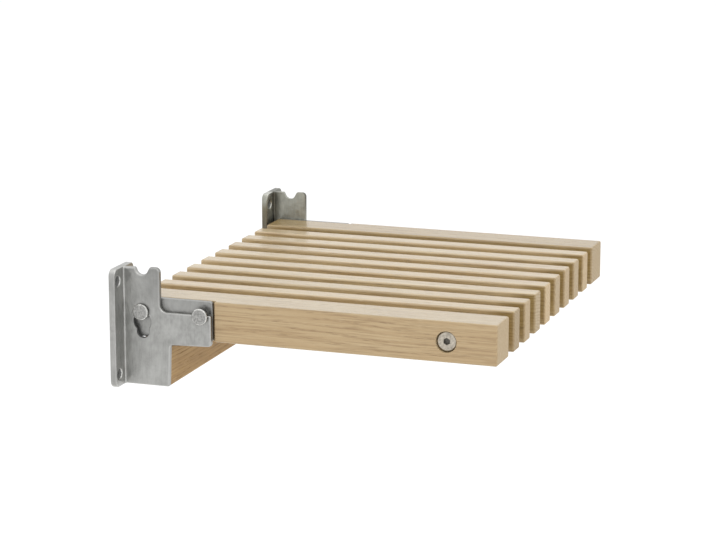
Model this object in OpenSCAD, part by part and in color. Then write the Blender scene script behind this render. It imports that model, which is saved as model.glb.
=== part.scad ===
// Fold down wall seat: slatted oak seat on two stainless wall brackets.
// Frame: X along the wall, -Y out from the wall, +Z up.
// Origin: on the wall, at the centre of the wall screw pattern.
// In the comments, "depth" is the distance out from the wall.

/* [Seat] */
// Overall width over the two outer rails
seat_w = 400; // [380:10:440]
// Length of the rails and slats, front to back
seat_l = 370; // [330:10:420]
// Height of the rails and slats
wood_h = 40; // [36:1:44]
// Thickness of each outer rail
rail_t = 40; // [36:1:44]
// Thickness of each inner slat
slat_t = 20; // [16:1:22]
// Radius on the long edges of the wood
wood_r = 2; // [1:0.5:3]
// Depth of the rear ends of the seat
seat_back = 13.5; // [13:0.5:14]
// Height of the seat's top face above the origin
seat_top = 29; // [28:0.5:30]

/* [Wall bracket] */
// Width of the wall flange
flange_w = 46; // [42:1:50]
// Height of the wall flange
flange_h = 118; // [114:1:122]
// Thickness of the wall flange
flange_t = 6.5; // [5.5:0.5:6.5]
// Corner radius of the wall flange
flange_r = 7; // [4:1:10]
// Thickness of the side plate
side_t = 5; // [4:0.5:6]
// Running gap between the side plate and the seat
side_gap = 0.5; // [0.3:0.1:1]
// Wall screw hole spacing across one bracket
hole_dx = 29; // [26:1:31]
// Wall screw hole spacing, up and down
hole_dz = 93; // [86:1:95]
// Wall screw hole diameter
hole_d = 6.4; // [5:0.2:7]
// Diameter of the countersink at the front face
csk_d = 12; // [10:0.5:13]

/* [Pins] */
// Diameter of the pins where they bear on the side plate
pin_d = 12; // [11.6:0.1:12]
// Diameter of the pin heads
head_d = 16.4; // [15.4:0.1:16.8]
// Thickness of the pin heads
head_t = 3; // [2:0.5:4]
// Distance between rear and front pins
pin_gap = 62; // [61:0.5:62]
// Depth of the rear pins with the seat down
pin_y = 25; // [24.9:0.1:25.3]
// Distance of the pins below the seat's top face
pin_drop = 14; // [13.5:0.5:14]
// Play round the pins in the slot, pocket and notch
pin_play = 0.3; // [0.3:0.05:0.4]

/* [Cross beam] */
// Height and thickness of the cross beam
beam_s = 40; // [36:1:40]
// Depth of the beam's front face
beam_front = 53; // [52:0.5:53.5]

/* [Cross rods] */
// Diameter of the rods through the slats
rod_d = 12; // [10:0.5:14]
// Distance of the front rod from the seat's front end
rod_front = 50; // [40:1:70]
// Depth of the rear rod
rod_rear_y = 71.5; // [69.5:1:73.5]
// Distance of the rear rod below the seat's top face
rod_rear_drop = 27; // [26:1:28]
// Diameter of the spacer sleeves on the rods
spacer_d = 20; // [16:1:22]
// Head diameter of the front bolts
bolt_head_d = 19.4; // [18:0.2:20.6]

/* [Hidden] */
$fn = 64;
e = 0.01;

hw = seat_w / 2;
slat_n = 8;
gap = (seat_w - 2 * rail_t - slat_n * slat_t) / (slat_n + 1);
pitch = slat_t + gap;
rail_in = hw - rail_t;
seat_front = seat_back + seat_l;
seat_bot = seat_top - wood_h;
arm_t = 5;
arm_in = hw - arm_t;
side_in = hw + side_gap;
side_out = side_in + side_t;
side_mid = side_in + side_t / 2;
pin_z = seat_top - pin_drop;
pin_r = pin_d / 2;
front_pin_y = pin_y + pin_gap;
fold_y = 26;
fold_z = -4.2;
rod_front_y = seat_front - rod_front;
rod_front_z = seat_top - wood_h / 2;
rod_rear_z = seat_top - rod_rear_drop;
rod_r = rod_d / 2;
rod_end = hw - 12;
thread_r = 4;
shoulder_in = arm_in - 0.3;
wood_col = [0.80, 0.68, 0.50];
steel_col = [0.66, 0.66, 0.64];

// ---------- helpers ----------

// Points on an arc of radius r about [x, y], from angle a to angle b
function arc(x, y, r, a, b, n = 6) = [for (i = [0:n]) let (t = a + (b - a) * i / n) [x + r * cos(t), y + r * sin(t)]];

// A rectangle with rounded corners, centred
function round_rect(w, h, r, n = 4) = concat(
    arc(w / 2 - r, h / 2 - r, r, 0, 90, n), arc(-w / 2 + r, h / 2 - r, r, 90, 180, n),
    arc(-w / 2 + r, -h / 2 + r, r, 180, 270, n), arc(w / 2 - r, -h / 2 + r, r, 270, 360, n));

// A flat shape drawn as [depth, height], given thickness from x_lo to x_hi
module on_side(x_lo, x_hi) translate([x_hi, 0, 0]) rotate([90, 0, -90]) linear_extrude(x_hi - x_lo) children();

// A cylinder along X at a depth and a height
module bar_x(x_lo, x_hi, y, z, r, r2 = -1) translate([x_lo, -y, z]) rotate([0, 90, 0])
    cylinder(h = x_hi - x_lo, r1 = r, r2 = r2 < 0 ? r : r2);

// A cylinder along Y, from depth y_lo out to depth y_hi
module bar_y(x, y_lo, y_hi, z, r, r2 = -1) translate([x, -y_lo, z]) rotate([90, 0, 0])
    cylinder(h = y_hi - y_lo, r1 = r, r2 = r2 < 0 ? r : r2);

// A hexagonal bar along X, a is the size across the flats
module hex_x(x_lo, x_hi, y, z, a) translate([x_lo, -y, z]) rotate([0, 90, 0])
    cylinder(h = x_hi - x_lo, r = a / sqrt(3), $fn = 6);

// A timber with eased edges, centred on X and Z, running from depth y_lo to y_hi
module timber(x, y_lo, y_hi, z_mid, w, h, r, rx) {
    l = y_hi - y_lo;
    translate([x, -(y_lo + y_hi) / 2, z_mid]) intersection() {
        rotate([90, 0, 0]) translate([0, 0, -l / 2 - 1]) linear_extrude(l + 2) polygon(round_rect(w, h, r));
        translate([0, 0, -h / 2 - 1]) linear_extrude(h + 2) polygon(round_rect(w, l, rx));
        translate([-w / 2 - 1, 0, 0]) rotate([90, 0, 90]) linear_extrude(w + 2) polygon(round_rect(l, h, rx));
    }
}

// Mirrors what is drawn for the left (-X) side onto the right side
module side(s) { if (s < 0) children(); else mirror([1, 0, 0]) children(); }

// ---------- wall bracket ----------

ledge_z = seat_top - 13.1;
arm_tip_y = front_pin_y + 10.7;
arm_low_root = seat_top - 45.6;
arm_low_tip = seat_top - 44;
ear_y = 44.5;
ear_z = seat_top + 30.5;
plate_low = -flange_h / 2 + 0.5;
low_front = beam_front + 1.6;
key_y = 25.8;
key_z = 5.2;
key_r = 9.2;
key_low_y = 26.4;
key_low_z = -4.5;
key_low_r = 6.5;

// Outline of the side plate: foot, arm, ledge, ear, lock notch, tip
function side_outline() = concat(
    [[flange_t - 3, plate_low]],
    arc(beam_front - 1.7, plate_low + 2, 2, -90, 0, 5),
    arc(low_front + 3, arm_low_root - 3, 3, 180, 93, 6),
    arc(arm_tip_y - 3.5, arm_low_tip + 3.5, 3.5, -87, 0, 6),
    arc(arm_tip_y - 1.5, ledge_z - 1.5, 1.5, 0, 90, 4),
    arc(ear_y + 7, ledge_z + 7, 7, 270, 180, 8),
    arc(ear_y - 4.6, ear_z - 4.6, 4.6, 0, 90, 6),
    arc(fold_y + 9.6, ear_z - 1.6, 1.6, 90, 160, 4),
    [[fold_y + 5.6, fold_z + pin_gap - 1.9], [fold_y, fold_z + pin_gap], [fold_y - 5.6, fold_z + pin_gap - 1.9]],
    arc(fold_y - 7.9, ear_z - 1.4, 0.8, 20, 100, 3),
    [[flange_t, ear_z - 1.2], [flange_t - 3, ear_z - 1.2]]);

// Sides of the slot between two round ends
function slot_sides(y1, z1, r1, y2, z2, r2) = [[y1 - r1, z1], [y1 + r1, z1], [y2 + r2, z2], [y2 - r2, z2]];

module side_plate_shape() {
    x0 = -side_out; x1 = -side_in;
    difference() {
        on_side(x0, x1) polygon(side_outline());
        // lock notch for the front pin
        bar_x(x0 - 1, x1 + 1, fold_y, fold_z + pin_gap, pin_r + 0.3);
        // pocket for the front pin
        bar_x(x0 - 1, x1 + 1, front_pin_y, pin_z, pin_r + pin_play);
        on_side(x0 - 1, x1 + 1) polygon([[front_pin_y - pin_r - pin_play, pin_z], [front_pin_y + pin_r + pin_play, pin_z],
            [front_pin_y + pin_r + pin_play, ledge_z + 3], [front_pin_y - pin_r - pin_play, ledge_z + 3]]);
        // keyhole slot: top seat, opening that passes the head, bottom seat
        bar_x(x0 - 1, x1 + 1, pin_y, pin_z, pin_r + pin_play);
        bar_x(x0 - 1, x1 + 1, key_y, key_z, key_r);
        bar_x(x0 - 1, x1 + 1, key_low_y, key_low_z, key_low_r);
        on_side(x0 - 1, x1 + 1) polygon(slot_sides(key_low_y, key_z, key_low_r, key_low_y, key_low_z, key_low_r));
        on_side(x0 - 1, x1 + 1) polygon(slot_sides(pin_y, pin_z, pin_r + pin_play, key_y, key_z, key_r));
    }
}

module flange_shape() {
    difference() {
        translate([-side_mid, 0, 0]) rotate([90, 0, 0]) linear_extrude(flange_t) polygon(round_rect(flange_w, flange_h, flange_r, 6));
        for (i = [-1, 1], j = [-1, 1]) {
            bar_y(-side_mid + i * hole_dx / 2, -1, flange_t + 1, j * hole_dz / 2, hole_d / 2);
            bar_y(-side_mid + i * hole_dx / 2, flange_t - (csk_d - hole_d) / 2, flange_t + e, j * hole_dz / 2, hole_d / 2, csk_d / 2);
        }
    }
}

// Small fillet where the side plate meets the flange
module root_fillet(x, dir) {
    r = 2;
    difference() {
        translate([min(x, x + dir * r), -flange_t - r, plate_low + 0.5]) cube([r, r + 0.5, flange_h - 3.5]);
        translate([x + dir * r, -flange_t - r, plate_low]) cylinder(h = flange_h, r = r);
    }
}

module bracket(s) color(steel_col) side(s) union() {
    flange_shape();
    side_plate_shape();
    root_fillet(-side_out, -1);
    root_fillet(-side_in, 1);
}

module left_bracket() bracket(-1);
module right_bracket() bracket(1);

// ---------- cross beam ----------

beam_z = plate_low + beam_s / 2;
beam_mid = beam_front - beam_s / 2;
stud_l = 25;

module cross_beam() color(wood_col) difference() {
    translate([0, -beam_mid, beam_z]) intersection() {
        translate([-side_in, 0, 0]) rotate([90, 0, 90]) linear_extrude(2 * side_in) polygon(round_rect(beam_s, beam_s, wood_r));
        cube([2 * side_in, beam_s, beam_s], center = true);
    }
    for (s = [-1, 1], i = [-1, 1]) side(s) bar_x(-side_in - 1, -side_in + stud_l + 1, beam_mid + i * 10, beam_z, 4);
}

module beam_studs(s) color(steel_col) side(s) for (i = [-1, 1])
    bar_x(-side_in, -side_in + stud_l, beam_mid + i * 10, beam_z, 4);

module left_beam_studs() beam_studs(-1);
module right_beam_studs() beam_studs(1);

// ---------- pins ----------

module pin(s, y) color(steel_col) side(s) union() {
    bar_x(-side_out - 0.7 - head_t, -side_out - 0.7, y, pin_z, head_d / 2);
    bar_x(-side_out - 0.7 - e, -shoulder_in, y, pin_z, pin_r);
    bar_x(-shoulder_in - e, -shoulder_in + 9, y, pin_z, thread_r);
}

module nut(s, y) color(steel_col) side(s) difference() {
    hex_x(-shoulder_in, -shoulder_in + 6.5, y, pin_z, 13);
    bar_x(-shoulder_in - 1, -shoulder_in + 8, y, pin_z, thread_r);
}

module left_rear_pin() pin(-1, pin_y);
module right_rear_pin() pin(1, pin_y);
module rear_pin_nuts() { nut(-1, pin_y); nut(1, pin_y); }
module left_front_pin() pin(-1, front_pin_y);
module right_front_pin() pin(1, front_pin_y);
module front_pin_nuts() { nut(-1, front_pin_y); nut(1, front_pin_y); }

// ---------- seat timbers ----------

shoulder_y = front_pin_y + 12.5;
screw_y = [37.5, 37.5, 89.5];
screw_drop = [9, 31, 33];

module rail(s) color(wood_col) side(s) difference() {
    timber(-hw + rail_t / 2, seat_back, seat_front, seat_top - wood_h / 2, rail_t, wood_h, wood_r, wood_r);
    // rebate for the arm plate
    translate([-hw - 1, -shoulder_y, seat_bot - 1]) cube([arm_t + 1, shoulder_y, wood_h + 2]);
    // front rod and its bolt head
    bar_x(-hw - 1, -rail_in + 1, rod_front_y, rod_front_z, rod_r + 0.1);
    bar_x(-hw - 1, -hw + 5.5, rod_front_y, rod_front_z, bolt_head_d / 2 + 0.5);
    // rear rod
    bar_x(-hw - 1, -rail_in + 1, rod_rear_y, rod_rear_z, rod_r + 0.1);
    // pockets for the pin nuts
    for (y = [pin_y, front_pin_y]) bar_x(-arm_in - 1, -arm_in + 12, y, pin_z, 8.5);
    // pilot holes for the arm plate screws
    for (i = [0:2]) bar_x(-arm_in - 1, -arm_in + 22, screw_y[i], seat_top - screw_drop[i], 2.2);
}

module left_rail() rail(-1);
module right_rail() rail(1);

module slat(i) color(wood_col) difference() {
    x = -rail_in + gap + slat_t / 2 + (i - 1) * pitch;
    timber(x, seat_back, seat_front, seat_top - wood_h / 2, slat_t, wood_h, wood_r, wood_r);
    bar_x(x - slat_t, x + slat_t, rod_front_y, rod_front_z, rod_r + 0.1);
    bar_x(x - slat_t, x + slat_t, rod_rear_y, rod_rear_z, rod_r + 0.1);
}

module slat_1() slat(1);
module slat_2() slat(2);
module slat_3() slat(3);
module slat_4() slat(4);
module slat_5() slat(5);
module slat_6() slat(6);
module slat_7() slat(7);
module slat_8() slat(8);

// ---------- arm plates ----------

arm_back = seat_back + 1;
arm_front = shoulder_y - 2;
arm_top = seat_top - 0.2;
arm_bot = seat_bot + 0.2;

module arm_plate(s) color(steel_col) side(s) difference() {
    on_side(-hw, -arm_in) translate([(arm_back + arm_front) / 2, (arm_top + arm_bot) / 2])
        polygon(round_rect(arm_front - arm_back, arm_top - arm_bot, 3, 5));
    bar_x(-hw - 1, -arm_in + 1, pin_y, pin_z, pin_r + 0.05);
    bar_x(-hw - 1, -arm_in + 1, front_pin_y, pin_z, pin_r + 0.02);
    bar_x(-hw - 1, -arm_in + 1, rod_rear_y, rod_rear_z, thread_r);
    bar_x(-hw - e, -hw + 4, rod_rear_y, rod_rear_z, 8, 4);
    for (i = [0:2]) {
        bar_x(-hw - 1, -arm_in + 1, screw_y[i], seat_top - screw_drop[i], 2.2);
        bar_x(-hw - e, -hw + 2.3, screw_y[i], seat_top - screw_drop[i], 4.5, 2.2);
    }
}

module left_arm_plate() arm_plate(-1);
module right_arm_plate() arm_plate(1);

// A countersunk screw along X with its head flush with the arm plate
module arm_screws(s) color(steel_col) side(s) for (i = [0:2]) difference() {
    union() {
        bar_x(-hw, -hw + 2.3, screw_y[i], seat_top - screw_drop[i], 4.5, 2.2);
        bar_x(-hw + 2.2, -hw + 20, screw_y[i], seat_top - screw_drop[i], 2.2);
        bar_x(-hw + 20 - e, -hw + 25, screw_y[i], seat_top - screw_drop[i], 2.2, 0.6);
    }
    hex_x(-hw - 1, -hw + 1.5, screw_y[i], seat_top - screw_drop[i], 3);
}

module left_arm_screws() arm_screws(-1);
module right_arm_screws() arm_screws(1);

// ---------- cross rods, bolts and spacers ----------

module rod(y, z) color(steel_col) difference() {
    bar_x(-rod_end, rod_end, y, z, rod_r);
    for (s = [-1, 1]) side(s) bar_x(-rod_end - 1, -rod_end + 20, y, z, thread_r);
}

module front_rod() rod(rod_front_y, rod_front_z);
module rear_rod() rod(rod_rear_y, rod_rear_z);

module front_bolt(s) color(steel_col) side(s) difference() {
    union() {
        bar_x(-hw + 2.5, -hw + 5.5, rod_front_y, rod_front_z, bolt_head_d / 2);
        bar_x(-hw + 5.5 - e, -rod_end + 18, rod_front_y, rod_front_z, thread_r);
    }
    hex_x(-hw + 1, -hw + 5.5, rod_front_y, rod_front_z, 6);
}

module left_front_bolt() front_bolt(-1);
module right_front_bolt() front_bolt(1);

module rear_bolt(s) color(steel_col) side(s) difference() {
    union() {
        bar_x(-hw, -hw + 4, rod_rear_y, rod_rear_z, 8, 4);
        bar_x(-hw + 4 - e, -rod_end + 18, rod_rear_y, rod_rear_z, thread_r);
    }
    hex_x(-hw - 1, -hw + 3, rod_rear_y, rod_rear_z, 5);
}

module left_rear_bolt() rear_bolt(-1);
module right_rear_bolt() rear_bolt(1);

module spacers(y, z) color(steel_col) for (i = [0:slat_n]) {
    x0 = -rail_in + i * pitch;
    difference() {
        bar_x(x0, x0 + gap, y, z, spacer_d / 2);
        bar_x(x0 - 1, x0 + gap + 1, y, z, rod_r + 0.1);
    }
}

module front_spacers() spacers(rod_front_y, rod_front_z);
module rear_spacers() spacers(rod_rear_y, rod_rear_z);

left_bracket();
right_bracket();
cross_beam();
left_beam_studs();
right_beam_studs();
left_rear_pin();
right_rear_pin();
rear_pin_nuts();
left_rail();
right_rail();
slat_1();
slat_2();
slat_3();
slat_4();
slat_5();
slat_6();
slat_7();
slat_8();
left_arm_plate();
right_arm_plate();
left_arm_screws();
right_arm_screws();
left_front_pin();
right_front_pin();
front_pin_nuts();
front_rod();
rear_rod();
left_front_bolt();
right_front_bolt();
left_rear_bolt();
right_rear_bolt();
front_spacers();
rear_spacers();
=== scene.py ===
import math

import bmesh
import bpy
import numpy as np
from mathutils import Matrix, Vector


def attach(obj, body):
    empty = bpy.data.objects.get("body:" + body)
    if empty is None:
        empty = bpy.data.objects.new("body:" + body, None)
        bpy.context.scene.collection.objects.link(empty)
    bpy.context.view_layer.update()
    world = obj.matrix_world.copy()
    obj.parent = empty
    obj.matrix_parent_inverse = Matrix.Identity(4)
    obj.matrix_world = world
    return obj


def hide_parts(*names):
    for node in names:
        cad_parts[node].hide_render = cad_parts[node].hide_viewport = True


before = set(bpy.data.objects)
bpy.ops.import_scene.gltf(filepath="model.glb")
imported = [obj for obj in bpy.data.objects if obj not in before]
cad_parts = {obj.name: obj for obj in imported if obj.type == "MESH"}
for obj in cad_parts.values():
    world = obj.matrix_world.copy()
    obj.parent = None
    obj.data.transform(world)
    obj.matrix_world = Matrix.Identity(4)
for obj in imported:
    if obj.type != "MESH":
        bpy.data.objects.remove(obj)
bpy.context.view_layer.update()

# All shapes below are in millimetres in the frame's own axes (X along the wall,
# -Y out from the wall, +Z up); they turn into metres when a mesh is made.
# "d" is the depth out from the wall, d = -y.

HW = 200.0            # half the seat's width
RAIL_T = 40.0
SLAT_T = 20.0
GAP = (2 * HW - 2 * RAIL_T - 8 * SLAT_T) / 9
PITCH = SLAT_T + GAP
TOP, BOT = 29.0, -11.0
BACK, FRONT = 13.5, 383.5
MID_D = (BACK + FRONT) / 2
SIDE_IN, SIDE_OUT = 200.5, 205.5
PIN_D, PIN_Z, FPIN_D = 25.0, 15.0, 87.0
FOLD_D, FOLD_Z = 26.0, -4.2
ROD_F = (333.5, 9.0)
ROD_R = (71.5, 2.0)
SHOULDER = 99.5
BEAM_Z, BEAM_D = -38.5, 33.0
PLATE_LOW = -58.5


# ---------------------------------------------------------------- distance fields

def arc(cx, cy, r, a, b, step=6.0):
    n = max(2, int(abs(b - a) / step + 0.5))
    t = np.radians(np.linspace(a, b, n + 1))
    return [(cx + r * math.cos(v), cy + r * math.sin(v)) for v in t]


def outline(points, x, y):
    """Signed distance to a closed outline, negative inside."""
    x, y = np.broadcast_arrays(np.asarray(x, float), np.asarray(y, float))
    best, odd = np.full(x.shape, 1e18), np.zeros(x.shape, bool)
    for (ax, ay), (bx, by) in zip(points, points[1:] + points[:1]):
        ex, ey = bx - ax, by - ay
        if ex * ex + ey * ey < 1e-12:
            continue
        px, py = x - ax, y - ay
        t = np.clip((px * ex + py * ey) / (ex * ex + ey * ey), 0, 1)
        best = np.minimum(best, (px - ex * t) ** 2 + (py - ey * t) ** 2)
        if by != ay:
            odd ^= ((ay > y) != (by > y)) & (px < ex * (y - ay) / (by - ay))
    d = np.sqrt(best)
    return np.where(odd, -d, d)


def disc(cx, cy, r, x, y):
    return np.hypot(x - cx, y - cy) - r


def box2(cx, cy, hx, hy, r, x, y):
    qx, qy = np.abs(x - cx) - (hx - r), np.abs(y - cy) - (hy - r)
    return np.hypot(np.maximum(qx, 0), np.maximum(qy, 0)) + np.minimum(np.maximum(qx, qy), 0) - r


def box3(c, h, r, x, y, z):
    q = [np.abs(v - m) - (k - r) for v, m, k in zip((x, y, z), c, h)]
    out = np.sqrt(np.maximum(q[0], 0) ** 2 + np.maximum(q[1], 0) ** 2 + np.maximum(q[2], 0) ** 2)
    return out + np.minimum(np.maximum(np.maximum(q[0], q[1]), q[2]), 0) - r


def both(a, b, r):
    """Where both are, with the edge between them rounded to r."""
    return np.minimum(-r, np.maximum(a, b)) + np.hypot(np.maximum(a + r, 0), np.maximum(b + r, 0))


def either(a, b, r):
    """Where either is, with a fillet of radius r in the corner."""
    return np.maximum(r, np.minimum(a, b)) - np.hypot(np.maximum(r - a, 0), np.maximum(r - b, 0))


def lines(*runs):
    """Grid lines from (start, stop, step) runs, in order."""
    out = []
    for a, b, s in runs:
        n = max(1, int(round((b - a) / s)))
        out += list(np.linspace(a, b, n + 1))
    out = np.array(sorted(out))
    return out[np.r_[True, np.diff(out) > 1e-4]]


def net(f, gx, gy, gz):
    """Points and quads of the zero surface of f on a grid of lines, points moved onto the surface."""
    F = np.asarray(f(gx[:, None, None], gy[None, :, None], gz[None, None, :]))
    F = np.broadcast_to(F, (len(gx), len(gy), len(gz)))
    S = F < 0
    g = (gx, gy, gz)
    cs = np.array(F.shape) - 1
    total = int(cs.prod())
    cell = lambda C: (C[:, 0] * cs[1] + C[:, 1]) * cs[2] + C[:, 2]
    acc, cnt, quads = np.zeros((total, 3)), np.zeros(total), []
    for ax in range(3):
        a, b = [slice(None)] * 3, [slice(None)] * 3
        a[ax], b[ax] = slice(0, -1), slice(1, None)
        I = np.argwhere(S[tuple(a)] != S[tuple(b)])
        if not len(I):
            continue
        J = I.copy()
        J[:, ax] += 1
        f0, f1 = F[tuple(I.T)], F[tuple(J.T)]
        p = np.stack([g[k][I[:, k]] for k in range(3)], 1)
        q = np.stack([g[k][J[:, k]] for k in range(3)], 1)
        p = p + (f0 / (f0 - f1))[:, None] * (q - p)
        u, v = ((1, 2), (2, 0), (0, 1))[ax]
        ids = []
        for du, dv in ((-1, -1), (0, -1), (0, 0), (-1, 0)):
            C = I.copy()
            C[:, u] += du
            C[:, v] += dv
            ids.append(cell(C))
        for c in ids:
            cnt += np.bincount(c, minlength=total)
            for k in range(3):
                acc[:, k] += np.bincount(c, weights=p[:, k], minlength=total)
        ids = np.stack(ids, 1)
        ids[f0 >= 0] = ids[f0 >= 0][:, ::-1]
        quads.append(ids)
    used = np.flatnonzero(cnt)
    index = np.zeros(total, np.int64)
    index[used] = np.arange(len(used))
    P = acc[used] / cnt[used][:, None]
    Q = index[np.concatenate(quads)]
    for _ in range(3):
        d, n = f(P[:, 0], P[:, 1], P[:, 2]), slope(f, P)
        step = np.clip(d, -0.4, 0.4)[:, None] * n
        P = P - step
    return P, Q


def slope(f, P, e=0.06):
    """Unit normals of f at points."""
    g = np.zeros_like(P)
    for k in ((1, -1, -1), (-1, -1, 1), (-1, 1, -1), (1, 1, 1)):
        k = np.array(k, float)
        R = P + k * e
        g += k * np.asarray(f(R[:, 0], R[:, 1], R[:, 2]))[:, None]
    return g / np.maximum(np.linalg.norm(g, axis=1), 1e-12)[:, None]


def carved(name, f, grid, shift=(0, 0, 0), mirror=False, cache={}):
    """A mesh of f, its flat areas joined into single faces, with the field's own normals."""
    key = id(f)
    if key not in cache:
        P, Q = net(f, *grid)
        me = bpy.data.meshes.new("work")
        me.from_pydata((P / 1000).tolist(), [], Q.tolist())
        bm = bmesh.new()
        bm.from_mesh(me)
        bmesh.ops.dissolve_limit(bm, angle_limit=math.radians(0.35), use_dissolve_boundaries=False,
                                 verts=bm.verts[:], edges=bm.edges[:])
        bm.to_mesh(me)
        bm.free()
        P = np.array([v.co for v in me.vertices]) * 1000
        faces = [tuple(p.vertices) for p in me.polygons]
        face_n = np.array([p.normal for p in me.polygons])
        size = np.array([p.area for p in me.polygons]) * 1e6
        bpy.data.meshes.remove(me)
        cache[key] = (P, faces, slope(f, P), face_n, size, f)
    P, faces, N, face_n, size, _ = cache[key]
    P, N, face_n = P + np.array(shift, float), N.copy(), face_n.copy()
    if mirror:
        P, N, face_n = P * [-1, 1, 1], N * [-1, 1, 1], face_n * [-1, 1, 1]
        faces = [tuple(reversed(p)) for p in faces]
    me = bpy.data.meshes.new(name)
    me.from_pydata((P / 1000).tolist(), [], faces)
    me.update()
    loops = np.empty((sum(map(len, faces)), 3))
    k = 0
    for p, n, s in zip(faces, face_n, size):
        for v in p:
            near = N[v] @ n
            loops[k] = n if (s > 3.0 and near > 0.9) or near < 0.2 else N[v]
            k += 1
    me.polygons.foreach_set("use_smooth", [True] * len(faces))
    me.normals_split_custom_set(loops.tolist())
    return me


# ---------------------------------------------------------------- turned shapes

def turned(rings, y, z, n=64, mirror=False):
    """A closed solid of rings about an axis along X. A ring is (x, radius) or (x, across flats, "hex").
    Rings run from one pole to the other, or round a bore when they close on themselves."""
    t = np.arange(n) * 2 * math.pi / n
    P, F = [], []
    closed = rings[0][1] > 0

    def radius(ring):
        if len(ring) > 2:
            return ring[1] / 2 / np.cos((t + math.pi / 6) % (math.pi / 3) - math.pi / 6)
        return np.full(n, float(ring[1]))

    starts = []
    for ring in rings:
        starts.append(len(P))
        if ring[1] == 0:
            P.append((ring[0], -y, z))
        else:
            P += [(ring[0], -y + r * math.cos(a), z + r * math.sin(a)) for r, a in zip(radius(ring), t)]
    pairs = list(zip(range(len(rings)), range(1, len(rings))))
    if closed:
        pairs.append((len(rings) - 1, 0))
    for i, j in pairs:
        a, b = starts[i], starts[j]
        for k in range(n):
            m = (k + 1) % n
            if rings[i][1] == 0:
                F.append((a, b + m, b + k))
            elif rings[j][1] == 0:
                F.append((a + k, a + m, b))
            else:
                F.append((a + k, a + m, b + m, b + k))
    P = np.array(P)
    if mirror:
        P, F = P * [-1, 1, 1], [tuple(reversed(f)) for f in F]
    return P, F


def joined(parts):
    P, F, base = [], [], 0
    for p, f in parts:
        P.append(p)
        F += [tuple(i + base for i in face) for face in f]
        base += len(p)
    return np.concatenate(P), F


def turned_mesh(name, parts, sharp=40):
    P, F = joined(parts)
    me = bpy.data.meshes.new(name)
    me.from_pydata((P / 1000).tolist(), [], F)
    bm = bmesh.new()
    bm.from_mesh(me)
    bmesh.ops.recalc_face_normals(bm, faces=bm.faces[:])
    bm.to_mesh(me)
    bm.free()
    me.polygons.foreach_set("use_smooth", [True] * len(me.polygons))
    me.set_sharp_from_angle(angle=math.radians(sharp))
    return me


# ---------------------------------------------------------------- placing pieces

def piece(mesh, node, body, material, weighted=False):
    ob = bpy.data.objects.new(node + "_look", mesh)
    bpy.context.scene.collection.objects.link(ob)
    mesh.materials.append(material)
    if weighted:
        m = ob.modifiers.new("even_shading", "WEIGHTED_NORMAL")
        m.keep_sharp = True
        m.weight = 90
    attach(ob, body)
    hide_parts(node)
    return ob


def give(mesh, name, values):
    """A vector for each point, which the material reads."""
    a = mesh.attributes.new(name, "FLOAT_VECTOR", "POINT")
    a.data.foreach_set("vector", np.ascontiguousarray(values, np.float32).ravel())


def points(mesh):
    co = np.empty(len(mesh.vertices) * 3)
    mesh.vertices.foreach_get("co", co)
    return co.reshape(-1, 3) * 1000


# ---------------------------------------------------------------- materials

class Nodes:
    """Short words for building a node tree."""

    def __init__(self, name):
        self.mat = bpy.data.materials.new(name)
        self.mat.use_nodes = True
        self.t = self.mat.node_tree
        self.shader = self.t.nodes["Principled BSDF"]

    def put(self, sock, v):
        if isinstance(v, bpy.types.NodeSocket):
            self.t.links.new(v, sock)
        elif v is not None:
            sock.default_value = v

    def new(self, kind, **props):
        n = self.t.nodes.new(kind)
        for k, v in props.items():
            setattr(n, k, v)
        return n

    def attribute(self, name):
        return self.new("ShaderNodeAttribute", attribute_name=name).outputs["Vector"]

    def m(self, op, a, b=None, c=None, clamp=False):
        n = self.new("ShaderNodeMath", operation=op, use_clamp=clamp)
        for s, v in zip(n.inputs, (a, b, c)):
            self.put(s, v)
        return n.outputs[0]

    def v(self, op, a, b=None):
        n = self.new("ShaderNodeVectorMath", operation=op)
        self.put(n.inputs[0], a)
        self.put(n.inputs[1], b)
        return n.outputs["Value" if op in ("LENGTH", "DOT_PRODUCT") else "Vector"]

    def xyz(self, a):
        n = self.new("ShaderNodeSeparateXYZ")
        self.put(n.inputs[0], a)
        return n.outputs

    def join(self, x, y, z):
        n = self.new("ShaderNodeCombineXYZ")
        for s, v in zip(n.inputs, (x, y, z)):
            self.put(s, v)
        return n.outputs[0]

    def noise(self, vec, scale=1.0, detail=2.0, rough=0.5, out="Fac"):
        n = self.new("ShaderNodeTexNoise")
        self.put(n.inputs["Vector"], vec)
        n.inputs["Scale"].default_value = scale
        n.inputs["Detail"].default_value = detail
        n.inputs["Roughness"].default_value = rough
        return n.outputs[out]

    def cells(self, vec, randomness=1.0, feature="F1"):
        n = self.new("ShaderNodeTexVoronoi", feature=feature)
        self.put(n.inputs["Vector"], vec)
        n.inputs["Scale"].default_value = 1.0
        n.inputs["Randomness"].default_value = randomness
        return n.outputs["Distance"]

    def ramp(self, v, a, b, lo=0.0, hi=1.0):
        n = self.new("ShaderNodeMapRange", interpolation_type="SMOOTHSTEP")
        for s, x in zip(("Value", "From Min", "From Max", "To Min", "To Max"), (v, a, b, lo, hi)):
            self.put(n.inputs[s], x)
        return n.outputs[0]

    def mix(self, f, a, b, how="MIX"):
        n = self.new("ShaderNodeMix", data_type="RGBA", blend_type=how)
        self.put(n.inputs["Factor"], f)
        self.put(n.inputs[6], a)
        self.put(n.inputs[7], b)
        return n.outputs[2]

    def bump(self, height, distance, normal=None):
        n = self.new("ShaderNodeBump")
        n.inputs["Distance"].default_value = distance
        self.put(n.inputs["Height"], height)
        self.put(n.inputs["Normal"], normal)
        return n.outputs[0]

    def finish(self, color, rough, normal, **same):
        s = self.shader.inputs
        self.put(s["Base Color"], color)
        self.put(s["Roughness"], rough)
        self.put(s["Normal"], normal)
        for k, v in same.items():
            s[k.replace("_", " ")].default_value = v
        return self.mat


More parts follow.
